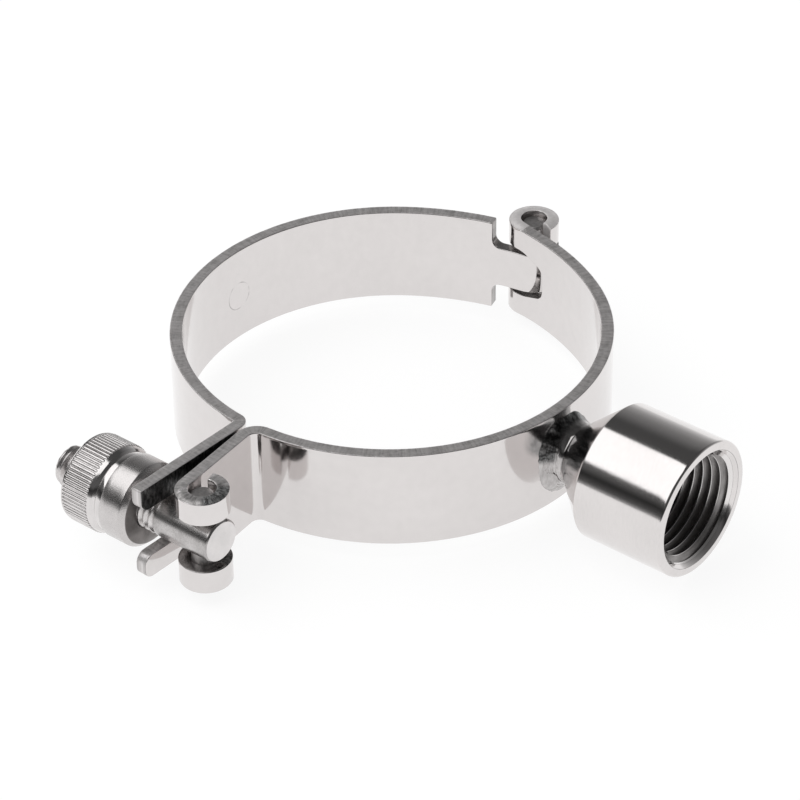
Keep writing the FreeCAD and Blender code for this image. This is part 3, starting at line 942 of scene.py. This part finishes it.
def boltMesh():
    low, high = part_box("swing_bolt")
    tail, tip, start = high.x, low.x, bolt["threadStart"]
    radius, root, crushed = bolt["radius"], bolt["rootRadius"], bolt["crushed"]
    chamfer, tailRound = bolt["tailChamfer"], bolt["tailRound"]
    profile = roundedPath([
        (tail, 0, 0), (tail, radius - chamfer, tailRound), (tail - chamfer, radius, tailRound),
        (start, radius, 0.15 * mm), (start - 0.6 * mm, root, 0.15 * mm),
        (tip + crushed, root, 0.2 * mm), (tip + crushed * 0.7, radius * 0.93, 0.3 * mm),
        (tip + 0.35 * mm, radius * 0.9, 0.5 * mm), (tip, radius * 0.7, 0.3 * mm), (tip, 0, 0)], steps=3)
    mesh = turnedMesh("swingBolt", fineProfile(profile, 0.6 * mm), 96, (0, boltAxis.y, 0))
    for vert in mesh.vertices:
        near = 1 - min(1, (vert.co.x - tip) / (crushed * 1.4))
        if near <= 0:
            continue
        dent = noise.noise(vert.co * 800) * bolt["fineDent"]
        dent += noise.noise(vert.co * 300) * bolt["broadDent"]
        spoke = Vector((0, vert.co.y - boltAxis.y, vert.co.z))
        if spoke.length > 1e-6:
            vert.co += spoke.normalized() * (dent * near - abs(dent) * near * 0.6)
        vert.co.x += abs(dent) * near * 0.8

    def boltFinish(spot):
        return 2 if spot.x > tail - 0.05 * mm else int(spot.x > start - 0.3 * mm)

    return paint(mesh, ("satinRod", "satinShank", "turnedNut"), boltFinish)


def crossHole():
    # The eye pin passes through the tail
    radius, reach = eyeLug["pinRadius"] + bolt["holePlay"], 6 * mm
    profile = [(-reach, 0), (-reach, radius), (reach, radius), (reach, 0)]
    return turnedMesh("drill", profile, 64, eyePlace, (0, 0, 1))


evenPiece("swingBolt", carved(boltMesh(), crossHole()), "bolt", "bolt", "swing_bolt")
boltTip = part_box("swing_bolt")[0].x + bolt["crushed"] * 0.8
boltTurns = (bolt["threadStart"] - boltTip) / bolt["pitch"]
boltThread = threadMesh("boltThread", {
    "Turns": boltTurns, "Pitch": bolt["pitch"], "Base radius": bolt["rootRadius"],
    "Ridge height": bolt["radius"] - bolt["rootRadius"], "Sink": 0.1 * mm,
    "Run out": 0.5, "Start turn": 0.3, "Profile points": 24, "Points a turn": 72,
    "Material": materials["satinRod"]}, (boltTip, boltAxis.y, 0))
newPiece("boltThread", boltThread, "bolt", "bolt")
print("bolt threaded:", round(boltTurns, 1), "turns")


# Collar and knurled nut

collar = lengths(chamfer=0.9, edge=0.18)
nut = dict(
    lengths(bore=4.05, rootRadius=8.2, knurlLength=6, rimRadius=8.3, rimWidth=0.18, coneLength=1.3,
            coneBelly=0.36, neckRadius=7.6, groove=0.12, toothHeight=0.19, toothWidth=0.36,
            clearance=0.02), teeth=70, seed=4)


def collarMesh():
    low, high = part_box("collar")
    radius = (high.z - low.z) / 2
    edge = collar["edge"]
    profile = roundedPath([
        (high.x, nut["bore"], edge), (high.x, radius - collar["chamfer"], edge),
        (high.x - collar["chamfer"], radius, edge * 2), (low.x, radius, edge),
        (low.x, nut["bore"], edge)], steps=3)
    mesh = turnedMesh("collar", fineProfile(profile, mm), 128, (0, boltAxis.y, 0))
    # The face next to the fork takes the dark cut steel, painted shade in the gap between collar and
    # fork
    return paint(mesh, ("satinCollar", "shadedCutSteel"), lambda spot: int(spot.x > high.x - 0.05 * mm))


def nutMesh():
    low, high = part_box("knurled_nut")
    front, back = high.x - nut["clearance"], low.x
    knurlStart = back + nut["knurlLength"]
    coneEnd = knurlStart + nut["coneLength"]
    neck, groove, rim, bore = nut["neckRadius"], nut["groove"], nut["rimWidth"], nut["bore"]
    rimRadius = nut["rimRadius"]
    small, fine = 0.12 * mm, 0.03 * mm
    profile = roundedPath([
        (front, bore, small), (front, neck, small), (coneEnd + groove, neck, fine),
        (coneEnd + groove / 2, neck - groove, fine), (coneEnd, neck, fine),
        (coneEnd - 0.5 * mm, neck + nut["coneBelly"], 0.5 * mm),
        (knurlStart, nut["rootRadius"], 0.1 * mm), (back + rim * 1.6, nut["rootRadius"], fine),
        (back + rim, rimRadius, 0.04 * mm), (back + 0.06 * mm, rimRadius, fine),
        (back, rimRadius - 0.08 * mm, fine), (back, bore + 0.5 * mm, small),
        (back + 0.5 * mm, bore, small)], steps=3)
    mesh = turnedMesh("knurledNut", fineProfile(profile, mm), 160, (0, boltAxis.y, 0))
    return paint(mesh, ["turnedNut"])


def knurlTree():
    # Teeth stand round the nut, each a little different
    tree, given = openTree("knurlTeeth", [
        ("Teeth", "Int"), ("Radius", "Float"), ("Length", "Float"), ("Height", "Float"),
        ("Width", "Float"), ("Seed", "Int")])
    around = made(tree, "GeometryNodeMeshCircle", {
        "Vertices": given["Teeth"], "Radius": given["Radius"]})
    line = made(tree, "GeometryNodeCurvePrimitiveLine", {
        "End": combined(tree, z=given["Length"])})
    line = made(tree, "GeometryNodeResampleCurve", {"Curve": line, "Count": 20})
    fade = spanned(tree, fromEnds(tree), 0.0, 0.05, 0.5)
    section = made(tree, "GeometryNodeCurvePrimitiveCircle", {
        "Resolution": 10, "Radius": 1.0}, mode="RADIUS")
    section = made(tree, "GeometryNodeTransform", {
        "Geometry": section, "Scale": combined(tree, given["Height"], given["Width"], 1.0)})
    tooth = made(tree, "GeometryNodeCurveToMesh", {
        "Curve": line, "Profile Curve": section, "Scale": fade, "Fill Caps": True})
    outward = made(tree, "FunctionNodeAlignEulerToVector", {
        "Vector": made(tree, "GeometryNodeInputPosition")}, axis="X")
    vary = put(tree, "FunctionNodeRandomValue", {
        2: 0.82, 3: 1.08, "Seed": given["Seed"]}, data_type="FLOAT").outputs[1]
    teeth = made(tree, "GeometryNodeInstanceOnPoints", {
        "Points": around, "Instance": tooth, "Rotation": outward,
        "Scale": combined(tree, vary, vary, 1.0)})
    return closeTree(tree, teeth, given["Material"])


evenPiece("smoothCollar", collarMesh(), "collar", "nut", "collar")
evenPiece("knurledNut", nutMesh(), "nut", "nut", "knurled_nut")
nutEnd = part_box("knurled_nut")[0].x + nut["rimWidth"]
teethMesh = grown("knurlTeeth", knurlTree(), {
    "Teeth": nut["teeth"], "Radius": nut["rootRadius"],
    "Length": nut["knurlLength"] - nut["rimWidth"], "Height": nut["toothHeight"],
    "Width": nut["toothWidth"], "Seed": nut["seed"], "Material": materials["knurl"]},
    (nutEnd, boltAxis.y, 0))
newPiece("knurlTeeth", teethMesh, "nut", "nut")
print("nut knurled")


# Studio: pale floor, one large soft light, and surroundings that the steel mirrors

studio = dict(floorZ=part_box("threaded_boss")[0].z, floorSize=3.0, floorGlow=0.87,
              mirroredGlow=0.915, floorTone=0.16, ambient=0.62,
              lightPlace=(-0.96, -0.199, 1.123), lightFacing=(-0.368, 0.377, -0.85),
              lightAlong=(-0.817, 0.306, 0.489), lightSize=(2.2, 0.98), lightRadiance=1.42,
              behindFacing=(-0.56, 0.83, 0.0), behindFade=(-0.25, 0.35),
              backGlow={0.0: 0.9, 0.08: 0.66, 0.26: 0.38, 0.44: 0.24, 0.59: 0.17, 0.75: 0.07},
              frontGlow={0.0: 0.4, 0.09: 0.09, 0.26: 0.02, 0.42: 0.11, 0.6: 0.10, 0.8: 0.07})


def makeFloor():
    mesh = bpy.data.meshes.new("floor")
    size = studio["floorSize"]
    z = studio["floorZ"]
    corners = [(-size, -size, z), (size, -size, z), (size, size, z), (-size, size, z)]
    mesh.from_pydata(corners, [], [(0, 1, 2, 3)])
    floor = linked("floor", mesh)
    material = bpy.data.materials.new("paleFloor")
    tree = emptied(material)
    rays = put(tree, "ShaderNodeLightPath").outputs
    seen = times(tree, rays["Is Camera Ray"], studio["floorGlow"])
    mirrored = sums(tree, "MAXIMUM", rays["Is Glossy Ray"], rays["Is Transmission Ray"])
    seen = sums(tree, "MAXIMUM", seen, times(tree, mirrored, studio["mirroredGlow"]))
    cloud = put(tree, "ShaderNodeTexNoise", {
        "Vector": mapped(tree, "Object"), "Scale": 3.0}).outputs["Fac"]
    tone = blendTone(tree, cloud, grey(studio["floorTone"]), grey(studio["floorTone"] * 1.05))
    matt = made(tree, "ShaderNodeBsdfDiffuse", {"Color": tone})
    glow = made(tree, "ShaderNodeEmission", {"Strength": seen})
    both = made(tree, "ShaderNodeAddShader", {0: matt, 1: glow})
    put(tree, "ShaderNodeOutputMaterial", {"Surface": both})
    mesh.materials.append(material)


def makeWorld():
    # White by the horizon behind, fading to a dim ceiling; the room in front is dark
    world = bpy.data.worlds.new("studio")
    bpy.context.scene.world = world
    tree = emptied(world)
    direction = mapped(tree, "Generated")
    height = parted(tree, direction)["Z"]
    facing = measured(tree, "DOT_PRODUCT", {0: direction, 1: studio["behindFacing"]})
    behind = spanned(tree, facing, *studio["behindFade"], smooth=True)

    def ramp(stops):
        node = put(tree, "ShaderNodeValToRGB", {0: height})
        line = node.color_ramp
        while len(line.elements) < len(stops):
            line.elements.new(1.0)
        for element, (place, value) in zip(line.elements, stops.items()):
            element.position = place
            element.color = grey(value)
        return node.outputs[0]

    back = ramp(studio["backGlow"])
    front = ramp(studio["frontGlow"])
    mirrored = blendTone(tree, behind, front, back)
    rays = put(tree, "ShaderNodeLightPath").outputs
    plain = blendTone(tree, rays["Is Glossy Ray"], grey(studio["ambient"]), mirrored)
    shown = blendTone(tree, rays["Is Camera Ray"], plain, grey(1.0))
    glow = made(tree, "ShaderNodeBackground", {"Color": shown, "Strength": 1.0})
    put(tree, "ShaderNodeOutputWorld", {"Surface": glow})


def makeLight():
    data = bpy.data.lights.new("softbox", "AREA")
    data.shape = "RECTANGLE"
    data.size, data.size_y = studio["lightSize"]
    data.energy = studio["lightRadiance"] * math.pi * data.size * data.size_y
    light = linked("softbox", data)
    back = -Vector(studio["lightFacing"]).normalized()
    along = Vector(studio["lightAlong"])
    along = (along - back * along.dot(back)).normalized()
    turn = Matrix((along, back.cross(along), back)).transposed().to_4x4()
    light.matrix_world = Matrix.Translation(studio["lightPlace"]) @ turn
    light.visible_camera = False


# Camera, from the photograph's own perspective

view = dict(side=800, focalPixels=3413.8, sensor=36.0, turn=-39.49, elevation=35.4802,
            roll=-0.6268, shiftRight=-1.4168 * mm, shiftUp=5.9207 * mm, distance=625.703 * mm)


def makeCamera():
    data = bpy.data.cameras.new("camera")
    data.sensor_width = view["sensor"]
    data.lens = view["focalPixels"] / view["side"] * view["sensor"]
    camera = linked("camera", data)
    elevation, roll = math.radians(view["elevation"]), math.radians(view["roll"])
    right = Vector((1, 0, 0))
    ahead = Vector((0, math.cos(elevation), -math.sin(elevation)))
    up = Vector((0, math.sin(elevation), math.cos(elevation)))
    across = right * math.cos(roll) + up * math.sin(roll)
    upright = up * math.cos(roll) - right * math.sin(roll)
    place = -(across * view["shiftRight"] + upright * view["shiftUp"] + ahead * view["distance"])
    axes = Matrix((across, upright, -ahead)).transposed().to_4x4()
    toFrame = Matrix.Rotation(-math.radians(view["turn"]), 4, "Z")
    camera.matrix_world = toFrame @ Matrix.Translation(place) @ axes
    bpy.context.scene.camera = camera


makeFloor()
makeWorld()
makeLight()
makeCamera()
bpy.context.scene.view_settings.view_transform = "Standard"
print("studio ready")
